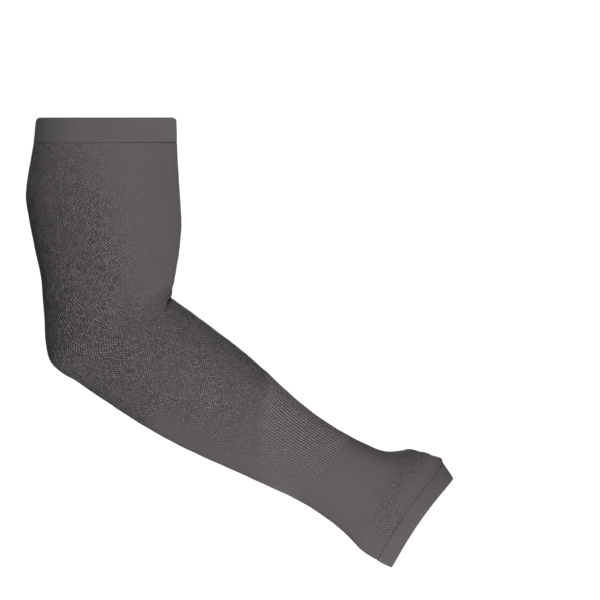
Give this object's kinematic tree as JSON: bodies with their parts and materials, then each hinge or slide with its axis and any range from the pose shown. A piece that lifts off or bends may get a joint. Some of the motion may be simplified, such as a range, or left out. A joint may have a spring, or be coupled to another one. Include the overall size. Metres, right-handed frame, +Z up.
{
  "type": "sun protection arm sleeve",
  "caption": "Knitted sun sleeve for a bent right arm, with a folded upper band, a ribbed zone before the wrist, and a hand cover with a thumb hole and hem.",
  "frame": {"origin": "middle of the upper-arm opening, in the plane of its top edge, where the arm goes in", "axes": "+Z up the upper arm and out of its opening, +X to the front of the arm, where the elbow folds and the forearm points, +Y to the inner side, with the palm, and -Y to the outer side, with the back of the hand"},
  "size_m": [0.3419, 0.1, 0.3603],
  "materials": {
    "plain_knit": "fine matte nylon knit, dark warm grey",
    "rib_knit": "lengthwise ribbed nylon knit, dark warm grey",
    "hem_knit": "smooth double knit of the folded hems, dark warm grey",
    "edge_knit": "turned knit edge, dark warm grey"
  },
  "bodies": {
    "root": {"upper_band": "hem_knit", "upper_arm_tube": "plain_knit", "elbow_tube": "plain_knit", "forearm_tube": "plain_knit", "forearm_rib": "rib_knit", "hand_cover": "plain_knit", "hand_hem": "hem_knit", "thumb_hole_edge": "edge_knit"}
  },
  "joints": []
}
